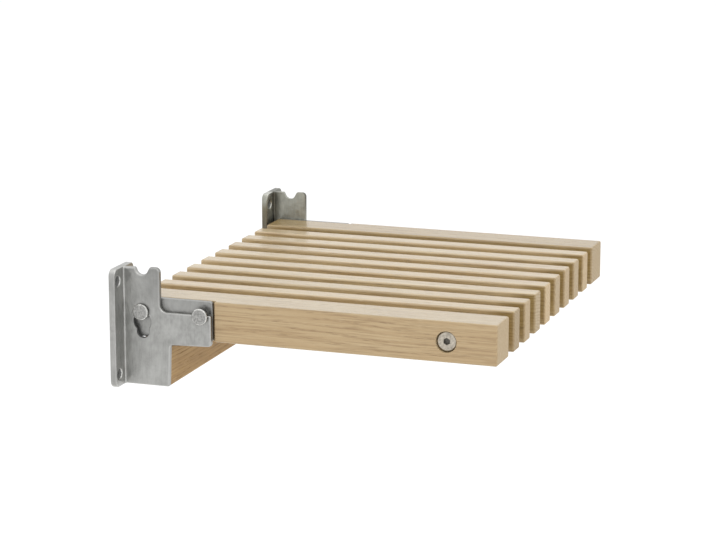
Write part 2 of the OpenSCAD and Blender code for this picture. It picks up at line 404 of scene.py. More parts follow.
def oak():
    """Pale oak. It reads the place inside the log, in mm: Y along the grain, X and Z from the pith."""
    g = Nodes("oak")
    log = g.attribute("log")
    tint = g.attribute("tint")
    end = g.ramp(g.xyz(g.attribute("face"))[0], 0.55, 0.85)
    # slow wander of the grain, then a finer wobble
    slow = g.v("MULTIPLY", g.v("SUBTRACT", g.noise(g.v("MULTIPLY", log, (0.016, 0.0032, 0.016)), 1, 2, 0.5, "Color"), (0.5, 0.5, 0.5)), (11, 0, 11))
    fine = g.v("MULTIPLY", g.v("SUBTRACT", g.noise(g.v("MULTIPLY", log, (0.11, 0.011, 0.11)), 1, 2, 0.5, "Color"), (0.5, 0.5, 0.5)), (1.5, 0, 1.5))
    q = g.v("ADD", g.v("ADD", log, slow), fine)
    x, y, z = g.xyz(q)[:3]
    r = g.m("SQRT", g.m("ADD", g.m("MULTIPLY", x, x), g.m("MULTIPLY", z, z)))
    uneven = g.noise(g.join(g.m("MULTIPLY", r, 0.07), 3.3, 1.7), 1, 1)
    phase = g.m("ADD", g.m("MULTIPLY", r, 1 / 3.3), g.m("MULTIPLY", uneven, 2.6))
    f = g.m("FRACT", phase)
    early = g.m("MULTIPLY", g.ramp(f, 0.0, 0.10), g.ramp(f, 0.26, 0.52, 1, 0))
    late = g.ramp(f, 0.35, 1.0)
    # pores: short dashes along the grain, dots on the end grain
    wide = g.cells(g.v("MULTIPLY", q, (1 / 0.80, 1 / 15.0, 1 / 0.80)))
    pore = g.m("MULTIPLY", g.ramp(wide, 0.18, 0.38, 1, 0), g.m("ADD", g.m("MULTIPLY", early, 0.9), 0.10))
    thin = g.cells(g.v("MULTIPLY", q, (1 / 0.32, 1 / 5.0, 1 / 0.32)))
    small = g.ramp(thin, 0.12, 0.30, 1, 0)
    fibre = g.noise(g.v("MULTIPLY", log, (2.6, 0.035, 2.6)), 1, 3, 0.6)
    # thin dark lines, dense and long, on every face that runs along the grain
    line = g.ramp(g.noise(g.v("MULTIPLY", q, (0.88, 0.017, 0.88)), 1, 3, 0.60), 0.48, 0.64)
    streak = g.noise(g.v("MULTIPLY", log, (0.42, 0.0055, 0.42)), 1, 3, 0.55)
    drift = g.noise(g.v("MULTIPLY", log, (0.03, 0.006, 0.03)), 1, 2, 0.5)
    # rays: pale flecks that lie across the rings
    angle = g.m("MULTIPLY", g.m("ARCTAN2", x, z), 60)
    ray = g.ramp(g.noise(g.join(g.m("MULTIPLY", angle, 1.4), g.m("MULTIPLY", y, 0.07), g.m("MULTIPLY", r, 0.10)), 1, 2, 0.6), 0.60, 0.72)

    base = g.mix(g.ramp(streak, 0.32, 0.70), (0.396, 0.276, 0.150, 1), (0.462, 0.346, 0.205, 1))
    base = g.mix(g.m("MULTIPLY", early, 0.52), base, (0.315, 0.206, 0.101, 1))
    base = g.mix(g.m("MULTIPLY", late, 0.18), base, (0.422, 0.301, 0.168, 1))
    base = g.mix(g.m("MULTIPLY", g.ramp(fibre, 0.35, 0.72), 0.22), base, (0.502, 0.384, 0.240, 1))
    base = g.mix(g.m("MULTIPLY", ray, 0.30), base, (0.528, 0.422, 0.282, 1))
    base = g.mix(g.m("MULTIPLY", small, 0.22), base, (0.264, 0.166, 0.078, 1))
    base = g.mix(g.m("MULTIPLY", line, g.m("SUBTRACT", 0.66, g.m("MULTIPLY", end, 0.54))), base, (0.262, 0.168, 0.082, 1))
    base = g.mix(g.m("MULTIPLY", pore, 0.72), base, (0.198, 0.119, 0.053, 1))
    base = g.mix(g.ramp(drift, 0.3, 0.7, 0.0, 0.28), base, (0.403, 0.275, 0.143, 1))
    # each board has its own tone and its end grain its own lightness; the tint also carries painted shade on the faces
    # inside the gaps and painted light on the top faces
    base = g.mix(1.0, base, tint, "MULTIPLY")
    base = g.mix(1.0, base, (1.04, 1.035, 0.955, 1), "MULTIPLY")
    # painted light on the gap sides near the top, where more light reaches them:
    # lighter side faces near the top of the gaps, to match the photo's tones, except at the seat's front end
    place = g.xyz(g.v("MULTIPLY", g.new("ShaderNodeTexCoord").outputs["Object"], (1000, 1000, 1000)))
    gap_top_light = g.m("MULTIPLY", g.ramp(place[2], 10, 19), g.ramp(place[1], -376, -350))
    gap_top_light = g.m("MULTIPLY", gap_top_light, g.xyz(g.attribute("face"))[2])
    base = g.mix(gap_top_light, base, g.mix(1.0, base, (1.62, 1.76, 2.45, 1), "MULTIPLY"))
    # the end grain drinks more oil: darker and more matt than the planed faces
    base = g.mix(end, base, g.mix(1.0, base, (0.87, 0.92, 1.03, 1), "MULTIPLY"))
    rough = g.m("ADD", g.m("ADD", 0.30, g.m("MULTIPLY", fibre, 0.10)), g.m("SUBTRACT", g.m("MULTIPLY", pore, 0.25), g.m("MULTIPLY", ray, 0.05)))
    rough = g.m("ADD", rough, g.m("MULTIPLY", end, 0.26))
    height = g.m("SUBTRACT", g.m("MULTIPLY", fibre, 0.35), g.m("ADD", pore, g.m("MULTIPLY", small, 0.25)))
    matt = g.xyz(g.attribute("face"))[1]
    rough = g.m("ADD", rough, g.m("MULTIPLY", matt, 0.25))
    oil = g.m("MULTIPLY", g.m("SUBTRACT", 1.0, g.m("MAXIMUM", end, matt)), 0.68)
    g.put(g.shader.inputs["Coat Weight"], oil)
    return g.finish(base, rough, g.bump(height, 0.00010), Specular_IOR_Level=0.5, Coat_Roughness=0.22, Coat_IOR=1.42)


def steel(name, dark, light, rough, streaks, pits, mottle=0.0, ear=False, far=False, rim=1.16):
    """Stainless steel, satin from tumbling: soft patches, faint lines, fine pitting, worn edges brightened also as
    painted highlights, and painted shade in recesses.
    """
    g = Nodes(name)
    tc = g.new("ShaderNodeTexCoord").outputs["Object"]
    p = g.v("MULTIPLY", tc, (1000, 1000, 1000))
    wear_and_painted_light = g.xyz(g.attribute("wear_and_painted_light"))
    patch = g.noise(g.v("MULTIPLY", p, (0.075, 0.075, 0.060)), 1, 3, 0.55)
    blot = g.noise(g.v("MULTIPLY", p, (0.30, 0.30, 0.22)), 1, 3, 0.6)
    lines_ = g.noise(g.v("MULTIPLY", p, (1.1, 1.1, 0.035)), 1, 3, 0.6)
    grain = g.noise(p, 2.6, 3, 0.65)
    tone = g.m("ADD", g.m("MULTIPLY", g.ramp(patch, 0.30, 0.72), 0.5),
               g.m("ADD", g.m("MULTIPLY", g.ramp(blot, 0.32, 0.70), 0.28), g.m("MULTIPLY", g.ramp(lines_, 0.3, 0.7), 0.22 * streaks)))
    color = g.mix(tone, dark, light)
    # worn edges drawn lighter: partly wear, partly painted highlight
    color = g.mix(g.m("MULTIPLY", wear_and_painted_light[0], 0.55), color, tuple(min(1, c * rim) for c in light[:3]) + (1,))
    # painted shade: the marked recesses turn dark
    color = g.mix(g.m("MULTIPLY", wear_and_painted_light[1], 0.88), color, tuple(c * 0.20 for c in dark[:3]) + (1,))
    if mottle:
        spots = g.ramp(g.noise(g.v("MULTIPLY", p, (0.55, 0.55, 0.42)), 1, 3, 0.62), 0.36, 0.64, 1 - mottle, 1 + mottle)
        color = g.mix(1.0, color, g.join(spots, spots, spots), "MULTIPLY")
    if ear:
        # painted shade above the seat and painted light on the wall flange's face:
        # darker above the seat and lighter on the wall flange's face, to match the photo's tones
        px, py, pz = g.xyz(p)[:3]
        up = g.m("MULTIPLY", g.ramp(pz, 12, 44), g.ramp(g.m("MULTIPLY", py, -1), 18, 36))
        tone = g.m("SUBTRACT", 1.0, g.m("MULTIPLY", up, 0.23))
        face = g.m("MULTIPLY", g.ramp(py, -9, -7), g.ramp(px, -225.5, -224.5))
        tone = g.m("ADD", tone, g.m("MULTIPLY", face, 0.20))
        color = g.mix(1.0, color, g.join(tone, tone, tone), "MULTIPLY")
    if far:
        # painted shade, a painted reflection of the wood and painted light on the far bracket:
        # the far bracket: darker edges below its top corner and a dark inner corner, to match the photo's tones
        px, py, pz = g.xyz(p)[:3]
        d = g.m("MULTIPLY", py, -1)
        band = g.m("MULTIPLY", g.ramp(d, 14, 24), g.ramp(d, 28, 38, 1, 0))
        crease = g.m("MULTIPLY", g.ramp(px, 194.0, 199.6), g.ramp(d, 7.0, 17.0, 1, 0))
        color = g.mix(g.m("MULTIPLY", band, 0.12), color, (0, 0, 0, 1))
        color = g.mix(g.m("MULTIPLY", crease, 0.50), color, (0, 0, 0, 1))
        low = g.m("MAXIMUM", g.ramp(pz, 41, 54, 1, 0), g.ramp(px, 190, 192))
        reflection_and_shade = g.mix(g.m("MULTIPLY", g.ramp(pz, 12, 40, 1, 0), g.ramp(px, 190, 192, 1, 0)), (0.49, 0.44, 0.33, 1), (0.36, 0.31, 0.25, 1))
        reflection_and_shade = g.mix(g.ramp(px, 190, 192), reflection_and_shade, (0.26, 0.25, 0.20, 1))
        shade = g.mix(g.m("MULTIPLY", wear_and_painted_light[2], low), (1, 1, 0.91, 1), reflection_and_shade)
        color = g.mix(1.0, color, shade, "MULTIPLY")
        face = g.m("MULTIPLY", g.ramp(d, 7.0, 9.0, 1, 0), g.m("SUBTRACT", 1.0, wear_and_painted_light[2], clamp=True))
        color = g.mix(g.m("MULTIPLY", face, g.ramp(px, 197, 199, 1, 0)), color, g.mix(1.0, color, (1.30, 1.30, 1.36, 1), "MULTIPLY"))
    r = g.m("ADD", rough, g.m("ADD", g.m("MULTIPLY", g.m("SUBTRACT", blot, 0.5), 0.20), g.m("MULTIPLY", g.m("SUBTRACT", grain, 0.5), 0.10)))
    r = g.m("SUBTRACT", r, g.m("MULTIPLY", wear_and_painted_light[0], 0.08), clamp=True)
    # the painted shade is also rough and not metallic, so that it reflects nothing
    r = g.m("ADD", r, g.m("MULTIPLY", wear_and_painted_light[1], 0.35), clamp=True)
    g.put(g.shader.inputs["Metallic"], g.m("SUBTRACT", 1.0, g.m("MULTIPLY", wear_and_painted_light[1], 0.9)))
    wave = g.bump(patch, 0.0009)
    h = g.m("ADD", g.m("MULTIPLY", grain, pits), g.m("MULTIPLY", lines_, 0.5 * streaks))
    return g.finish(color, r, g.bump(h, 0.00006, wave))


OAK = oak()
CAST = steel("steel_satin", (0.295, 0.295, 0.284, 1), (0.435, 0.435, 0.42, 1), 0.38, 1.0, 1.0)
BRACKET = steel("steel_satin_cast", (0.29, 0.29, 0.278, 1), (0.44, 0.44, 0.425, 1), 0.38, 1.0, 1.0, ear=True)
BRACKET_FAR = steel("steel_satin_cast_right", (0.29, 0.29, 0.278, 1), (0.44, 0.44, 0.425, 1), 0.38, 1.0, 1.0, far=True)
PLATES = steel("steel_satin_plates", (0.256, 0.256, 0.246, 1), (0.378, 0.378, 0.365, 1), 0.38, 1.0, 1.0)
TURNED = steel("steel_hardware", (0.36, 0.36, 0.35, 1), (0.47, 0.468, 0.455, 1), 0.31, 0.0, 0.6)
# the pin heads' bevel is drawn much lighter: partly a polished bevel, partly a painted highlight
PINS = steel("steel_pins", (0.285, 0.283, 0.272, 1), (0.385, 0.382, 0.368, 1), 0.33, 0.0, 0.8, mottle=0.24, rim=1.9)
# the bolts' warm tone is a painted reflection of the wood round their heads
BOLT = steel("steel_bolts", (0.37, 0.335, 0.28, 1), (0.49, 0.445, 0.375, 1), 0.32, 0.0, 0.8, mottle=0.20)

# ---------------------------------------------------------------- wall brackets

EAR_D, EAR_Z, LEDGE_Z, TIP_D = 44.5, TOP + 30.5, TOP - 13.1, FPIN_D + 10.7
ARM_ROOT, ARM_TIP = TOP - 45.6, TOP - 44.0
PLATE_FRONT = 54.6

SIDE_OUTLINE = (
    [(2.0, PLATE_LOW)]
    + arc(PLATE_FRONT - 3.3, PLATE_LOW + 2, 2, -90, 0)
    + arc(PLATE_FRONT + 3, ARM_ROOT - 3, 3, 180, 93)
    + arc(TIP_D - 3.5, ARM_TIP + 3.5, 3.5, -87, 0)
    + arc(TIP_D - 1.8, LEDGE_Z - 1.8, 1.8, 0, 90)
    + arc(EAR_D + 7, LEDGE_Z + 7, 7, 270, 180)
    + arc(EAR_D - 4.8, EAR_Z - 4.8, 4.8, 0, 90)
    + arc(FOLD_D + 9.4, EAR_Z - 2.2, 2.2, 90, 165)
    + [(FOLD_D + 5.6, FOLD_Z + 60.1), (FOLD_D, FOLD_Z + 62), (FOLD_D - 5.6, FOLD_Z + 60.1)]
    + arc(FOLD_D - 8.1, EAR_Z - 1.7, 1.0, 20, 100)
    + [(6.0, EAR_Z - 1.2), (2.0, EAR_Z - 1.2)]
)
KEY_D, KEY_Z, KEY_R = 25.8, 5.2, 9.2
LOW_D, LOW_Z, LOW_R = 26.4, -4.5, 6.5
TOP_SLOT = [(PIN_D - 6.3, PIN_Z), (PIN_D + 6.3, PIN_Z), (KEY_D + KEY_R, KEY_Z), (KEY_D - KEY_R, KEY_Z)]
LOW_SLOT = [(LOW_D - LOW_R, KEY_Z), (LOW_D + LOW_R, KEY_Z), (LOW_D + LOW_R, LOW_Z), (LOW_D - LOW_R, LOW_Z)]
POCKET = [(FPIN_D - 6.3, PIN_Z), (FPIN_D + 6.3, PIN_Z), (FPIN_D + 6.3, LEDGE_Z + 4), (FPIN_D - 6.3, LEDGE_Z + 4)]
SCREWS = [(-203 + i * 14.5, j * 46.5) for i in (-1, 1) for j in (-1, 1)]


def keyhole(d, z):
    k = np.minimum(disc(PIN_D, PIN_Z, 6.3, d, z), disc(KEY_D, KEY_Z, KEY_R, d, z))
    k = np.minimum(k, disc(LOW_D, LOW_Z, LOW_R, d, z))
    return np.minimum(np.minimum(k, outline(TOP_SLOT, d, z)), outline(LOW_SLOT, d, z))


def bracket(x, y, z):
    d = -y
    side = outline(SIDE_OUTLINE, d, z)
    side = both(side, -disc(FOLD_D, FOLD_Z + 62, 6.3, d, z), 0.8)
    plate = both(both(side, -SIDE_OUT - x, 2.0), x + SIDE_IN, 0.5)
    flange = both(box2(-203, 0, 23, 59, 7, x, z), np.abs(y + 3.25) - 3.25, 0.9)
    body = either(plate, flange, 1.6)
    pocket = np.minimum(disc(FPIN_D, PIN_Z, 6.3, d, z), outline(POCKET, d, z))
    for hole in (keyhole(d, z), pocket):
        body = both(body, -np.maximum(hole, np.abs(x + 203) - 8), 0.6)
    for sx, sz in SCREWS:
        rho = np.hypot(x - sx, z - sz)
        hole = np.maximum(np.minimum(rho - 3.2, (rho - d + 0.5) * 0.7071), d - 8)
        body = both(body, -hole, 0.3)
    return body


bracket_grid = (
    lines((-227, -224.5, 0.5), (-224.5, -211, 0.75), (-211, -206.6, 0.55), (-206.6, -203.6, 0.38), (-203.6, -202.4, 0.6),
          (-202.4, -199.4, 0.38), (-199.4, -195, 0.55), (-195, -181.5, 0.75), (-181.5, -179, 0.5)),
    lines((-99, -9.5, 0.72), (-9.5, -5, 0.44), (-5, -1.4, 0.8), (-1.4, 0.6, 0.4)),
    lines((-60.1, 60.6, 0.72)),
)
me = carved("left_bracket", bracket, bracket_grid)
mr = carved("right_bracket", bracket, bracket_grid, mirror=True)
for m_, s in ((me, 1), (mr, -1)):
    P = points(m_) * [s, 1, 1]
    N = slope(bracket, P)
    d = -P[:, 1]
    # edge: worn edges, brightened also as painted highlight
    along = np.where(d < 9, N[:, 1], N[:, 0])
    edge = np.clip(4 * along**2 * (1 - along**2), 0, 1)
    # painted shade in the keyhole's walls and on its rim, where the rim's highlight is taken away
    near = np.exp(-np.maximum(np.abs(keyhole(d, P[:, 2])), 0) / 1.2) * (np.abs(N[:, 0]) < 0.6) * (d > 10)
    rim = np.exp(-np.abs(keyhole(d, P[:, 2])) / 1.5) * (d > 10) * (np.abs(N[:, 0]) < 0.97)
    edge, near = edge * (1 - rim), np.maximum(near, 0.6 * rim)
    # painted shade inside the screw holes and a painted highlight ring round them
    for sx, sz in SCREWS:
        rho = np.hypot(P[:, 0] - sx, P[:, 2] - sz)
        near = np.maximum(near, (rho < 5.0) * (d < 6.2) * (d > 0.3))
        edge = np.maximum(edge, (rho > 5.4) * (rho < 6.6) * (d > 5.5) * (N[:, 1] > -0.9))
    corner = 1.0 * (np.abs(P[:, 0] + 203) < 4.6) * (d > 6.4) * (d < 8.4)
    edge, near = edge * (1 - corner), near * (1 - corner)
    # painted shade on the far bracket's flange end face and on its ear's front edge, whose edge highlight is taken away
    shade = (N[:, 0] > 0.35) * (P[:, 0] > -183) + np.clip(-1.6 * N[:, 1], 0, 1) * (d > 38) * (P[:, 2] > LEDGE_Z + 8)
    if s < 0:
        edge = edge * (1 - np.clip(shade, 0, 1))
    give(m_, "wear_and_painted_light", np.stack([edge * (near < 0.5), near, np.clip(shade, 0, 1)], 1))
piece(me, "left_bracket", "wall_frame", BRACKET)
piece(mr, "right_bracket", "wall_frame", BRACKET_FAR)

# ---------------------------------------------------------------- timbers

# painted shade: how much darker and more olive the faces inside the gaps are drawn
GAP_PAINTED_SHADE = (0.69, 0.66, 0.48)
# painted light on the top faces, scaled by each board's top factor
TOP_PAINTED_LIGHT = (0.94, 1.00, 1.03)


def give_grain(mesh, centre, pith, tilt, seed, tint, inner=0, cut=1.0, top=1.0):
    """Where the board lay in its log: pith is from the board's middle to the log's centre."""
    P = points(mesh) - np.array(centre, float)
    R = np.array((Matrix.Rotation(math.radians(tilt[0]), 3, "X") @ Matrix.Rotation(math.radians(tilt[1]), 3, "Z")).to_3x3())
    P = P @ R.T - np.array((pith[0], 0, pith[1]), float)
    P[:, 1] += seed
    give(mesh, "log", P)
    faces_of(mesh, 1, tint, inner, cut, 0.0, top)


def faces_of(mesh, grain, tint, inner, cut=1.0, matt=0.0, top=1.0):
    """Tone of the board, with painted shade, darker and more olive, on the faces inside the gaps, painted light on the
    top faces, and which points lie on end grain.
    """
    n = np.empty(len(mesh.vertices) * 3)
    mesh.vertices.foreach_get("normal", n)
    n = n.reshape(-1, 3)
    light, warm = tint
    board = np.array((light + warm, light, light - warm))
    if inner is None:
        gap_shade = np.zeros(len(n))
    else:
        gap_shade = np.clip(np.abs(n[:, 0]) if inner == 0 else n[:, 0] * inner, 0, 1) ** 2
    ends = np.abs(n[:, grain])
    cut = 1 + (cut - 1) * np.clip((ends - 0.5) / 0.3, 0, 1)
    give(mesh, "tint", board * (1 - gap_shade[:, None] * (1 - np.array(GAP_PAINTED_SHADE))) * cut[:, None]
         * (1 - n[:, 2:3] ** 2 * (inner is not None) * (1 - np.array(TOP_PAINTED_LIGHT) * top)))
    give(mesh, "face", np.stack([ends, 0 * gap_shade + matt, gap_shade * (0.4 if inner == -1 else 1.0)], 1))


SLAT_Y = lines((-383, -379, 0.5), (-379, -345, 8), (-340.5, -323.5, 0.8), (-315, -85, 20), (-78.5, -61.5, 0.8), (-55, -15, 8), (-15, -11, 0.5)) - 1.5
SLAT_Z = lines((-12, -8, 0.5), (-7, -5.5, 0.8), (-5.5, 16.5, 0.8), (16.5, 25, 4), (25, 30, 0.5))


def slat(x, y, z):
    d = -y
    s = box3((0, -MID_D, 9), (10, 185, 20), 2.0, x, y, z)
    for (rd, rz) in (ROD_F, ROD_R):
        s = both(s, -disc(rd, rz, 6.1, d, z), 0.2)
    return s


slat_grid = (lines((-11, -7, 0.5), (-6, 6, 4), (7, 11, 0.5)), SLAT_Y, SLAT_Z)
# how light each slat's end grain is
CUTS = [0.89, 1.14, 1.02, 1.33, 1.04, 1.14, 1.06, 1.24]
# pith from the board's middle (across, up), lean of the grain, seed, tint (light, warm)
BOARDS = [
    ((-46, -70), (0.7, 0.5), 1300, (1.00, 0.010)),
    ((70, -40), (-0.5, 0.3), 2900, (0.97, 0.000)),
    ((-20, -95), (0.4, -0.6), 4100, (1.03, -0.010)),
    ((55, 60), (0.3, 0.8), 5700, (0.98, 0.012)),
    ((-85, -25), (-0.8, 0.2), 7300, (1.02, 0.004)),
    ((30, -80), (0.5, -0.4), 8600, (0.96, 0.014)),
    ((-60, 52), (0.2, 0.6), 9900, (1.01, -0.006)),
    ((90, -30), (-0.4, -0.5), 11200, (0.99, 0.006)),
]
for i in range(8):
    x0 = -HW + RAIL_T + GAP + SLAT_T / 2 + i * PITCH
    name = f"slat_{i + 1}"
    m_ = carved(name, slat, slat_grid, shift=(x0, 0, 0))
    pith, tilt, seed, tint = BOARDS[i]
    # the slats' tops are drawn paler: painted sheen
    give_grain(m_, (x0, -MID_D, 9), pith, tilt, seed, tint, 0, CUTS[i], 1.10)
    piece(m_, name, "seat", OAK)

ARM_SCREWS = [(37.5, TOP - 9), (37.5, TOP - 31), (89.5, TOP - 33)]


def rail(x, y, z):
    d = -y
    s = box3((-180, -MID_D, 9), (20, 185, 20), 2.0, x, y, z)
    s = both(s, -both(x + 195, d - SHOULDER, 0.3), 0.4)
    s = both(s, -both(disc(*ROD_F, 10.2, d, z), x + 194.5, 0.3), 0.45)
    s = both(s, -disc(*ROD_F, 6.1, d, z), 0.2)
    s = both(s, -disc(*ROD_R, 6.1, d, z), 0.2)
    for pd in (PIN_D, FPIN_D):
        s = both(s, -both(disc(pd, PIN_Z, 8.5, d, z), x + 183, 0.3), 0.2)
    return s


rail_grid = (
    lines((-201, -197, 0.5), (-196.4, -193.4, 0.5), (-190, -185, 5), (-184, -182, 0.5), (-175, -165, 5), (-163, -159, 0.5)),
    lines((-383, -379, 0.5), (-379, -345, 8), (-344, -320, 0.8), (-315, -103, 20), (-101, -96, 0.5), (-94.5, -75, 0.85), (-78.5, -61.5, 0.85),
          (-58, -35, 6), (-33.5, -13.5, 0.85), (-13.5, -11, 0.5)) - 1.5,
    lines((-12, -8, 0.5), (-7.5, 25, 0.85), (25, 30, 0.5)),
)
ml = carved("left_rail", rail, rail_grid)
mrr = carved("right_rail", rail, rail_grid, mirror=True)
# the rails: painted shade on the face towards the gaps; the right rail's top is darker and warmer, painted shade
give_grain(ml, (-180, -MID_D, 9), (62, -38), (0.9, -0.7), 400, (1.00, 0.004), 1, 1.08)
give_grain(mrr, (180, -MID_D, 9), (-40, -75), (-0.6, 0.5), 13100, (1.01, -0.004), -1, 1.0, np.array((0.76, 0.68, 0.46)))
piece(ml, "left_rail", "seat", OAK)
piece(mrr, "right_rail", "seat", OAK)


def beam(x, y, z):
    s = both(box2(-BEAM_D, BEAM_Z, 20, 20, 2.0, y, z), np.abs(x) - SIDE_IN, 0.25)
    for k in (-10, 10):
        hole = both(disc(-BEAM_D + k, BEAM_Z, 4.0, y, z), SIDE_IN - 26 - np.abs(x), 0.1)
        s = both(s, -hole, 0.1)
    return s


beam_x = lines((-201.5, -199.5, 0.25), (-198, -177, 7), (-176, -173, 0.5), (-150, 150, 50), (173, 176, 0.5), (177, 198, 7), (199.5, 201.5, 0.25))
beam_y = lines((-52, -48, 0.5), (-47.5, -14.5, 0.75), (-14, -10, 0.5)) - 2
beam_z = lines((-58.5, -54.5, 0.5), (-53, -43, 3), (-42.5, -32.5, 0.6), (-32, -22, 3), (-20.5, -16.5, 0.5)) - 1
mb = carved("cross_beam", beam, (beam_x, beam_y, beam_z))
P = points(mb)
C = P - [0, -BEAM_D, BEAM_Z]
# the beam's grain runs along X
give(mb, "log", np.stack([C[:, 1] + 35, C[:, 0] + 15700, C[:, 2] - 66], 1))
# painted shade: the beam sits under the seat, and its darker, warmer tone stands in for that shade and the warm light
# bounced off the wood
faces_of(mb, 0, (0.745, 0.135), None, matt=1.0)
warm = np.array((1.0, 1.02, 0.86))
tint = np.empty(len(P) * 3)
mb.attributes["tint"].data.foreach_get("vector", tint)
mb.attributes["tint"].data.foreach_set("vector", np.ascontiguousarray(tint.reshape(-1, 3) * warm, np.float32).ravel())
piece(mb, "cross_beam", "wall_frame", OAK)

# ---------------------------------------------------------------- arm plates

def arm_plate(x, y, z):
    d = -y
    s = box2(56.0, 9, 41.5, 19.8, 3, d, z)
    s = both(s, np.abs(x + 197.5) - 2.5, 0.6)
    for pd in (PIN_D, FPIN_D):
        s = both(s, -disc(pd, PIN_Z, 6.04, d, z), 0.2)
    rho = disc(*ROD_R, 0, d, z)
    s = both(s, -np.minimum(rho - 4, rho - 8.05 + (x + 200)), 0.15)
    for sd, sz in ARM_SCREWS:
        rho = disc(sd, sz, 0, d, z)
        s = both(s, -np.minimum(rho - 2.2, rho - 4.55 + (x + 200)), 0.12)
    return s


arm_grid = (
    lines((-200.6, -198.6, 0.33), (-198.6, -196.4, 0.55), (-196.4, -194.4, 0.4)),
    lines((-98.2, -78, 0.62), (-78, -61, 0.62), (-61, -42, 2.4), (-42, -12.3, 0.62)) - 1.5,
    lines((-11.6, 29.6, 0.62)),
)
ma = carved("left_arm_plate", arm_plate, arm_grid)
mra = carved("right_arm_plate", arm_plate, arm_grid, mirror=True)
for m_, s in ((ma, 1), (mra, -1)):
    P = points(m_) * [s, 1, 1]
    N = slope(arm_plate, P)
    # painted shade on the lower edge behind the keyhole; the edges are otherwise brightened, partly wear and partly
    # painted highlight
    low = 1.0 * (N[:, 2] < -0.5) * (-P[:, 1] > 17) * (-P[:, 1] < 36)
    give(m_, "wear_and_painted_light", np.stack([np.clip(4 * N[:, 0] ** 2 * (1 - N[:, 0] ** 2), 0, 1) * (1 - low), 1.0 * low, 0 * P[:, 0]], 1))
piece(ma, "left_arm_plate", "seat", PLATES)
piece(mra, "right_arm_plate", "seat", PLATES)

# ---------------------------------------------------------------- pins, bolts, rods

def socket_shade_and_rim(mesh, socket, rim=()):
    """Painted shade: the inside of a hexagon socket at each (depth, height, across flats) is painted dark; a head's
    bevel, given by rim, is marked for a painted highlight.
    """
    P = points(mesh)
    dark = np.zeros(len(P))
    for sd, sz, flats, face in socket:
        r = np.hypot(-P[:, 1] - sd, P[:, 2] - sz)
        dark = np.maximum(dark, (r < flats * 0.585) & (np.abs(P[:, 0]) < face) & (np.abs(P[:, 0]) > face - 4))
    give(mesh, "wear_and_painted_light", np.stack([rim_of(P, rim), dark, 0 * dark], 1))


def rim_of(P, rim):
    """1 on the bevel round a head, marked for a painted highlight, given as (depth, height, from radius, to radius,
    side face).
    """
    out = np.zeros(len(P))
    for sd, sz, r0, r1, face in rim:
        r = np.hypot(-P[:, 1] - sd, P[:, 2] - sz)
        out = np.maximum(out, (r > r0) * (r < r1) * (np.abs(P[:, 0]) > face))
    return out


def turned_piece(node, parts, body, mat, sharp=40, socket=(), rim=()):
    m_ = turned_mesh(node, parts, sharp)
    socket_shade_and_rim(m_, socket, rim)
    return piece(m_, node, body, mat, weighted=True)


PIN = [(-209.2, 0), (-209.2, 6.0), (-209.17, 6.8), (-209.02, 7.4), (-208.72, 7.85), (-208.3, 8.12), (-207.9, 8.2), (-206.7, 8.2), (-206.35, 8.05),
       (-206.2, 7.7), (-206.2, 6.35), (-206.0, 6.05), (-205.8, 6.0), (-195.0, 6.0), (-194.72, 5.8), (-194.7, 5.6), (-194.7, 4.0), (-186.3, 4.0), (-185.7, 3.4), (-185.7, 0)]
for side in ("left", "right"):
    mir = side == "right"
    turned_piece(f"{side}_rear_pin", [turned(PIN, PIN_D, PIN_Z, 72, mir)], "rear_pins", PINS, 40, (), [(PIN_D, PIN_Z, 7.2, 8.15, 208.0)])
    turned_piece(f"{side}_front_pin", [turned(PIN, FPIN_D, PIN_Z, 72, mir)], "seat", PINS, 40, (), [(FPIN_D, PIN_Z, 7.2, 8.15, 208.0)])


def nut(d, z, mirror):
    rings = [(-194.7, 4.4), (-194.7, 6.1), (-194.3, 12.4, "hex"), (-193.9, 13.0, "hex"), (-189.0, 13.0, "hex"), (-188.6, 12.4, "hex"), (-188.2, 6.1), (-188.2, 4.4),
             (-188.6, 4.02), (-194.3, 4.02)]
    return turned(rings, d, z, 48, mirror)


turned_piece("rear_pin_nuts", [nut(PIN_D, PIN_Z, False), nut(PIN_D, PIN_Z, True)], "rear_pins", TURNED, 25)
turned_piece("front_pin_nuts", [nut(FPIN_D, PIN_Z, False), nut(FPIN_D, PIN_Z, True)], "seat", TURNED, 25)

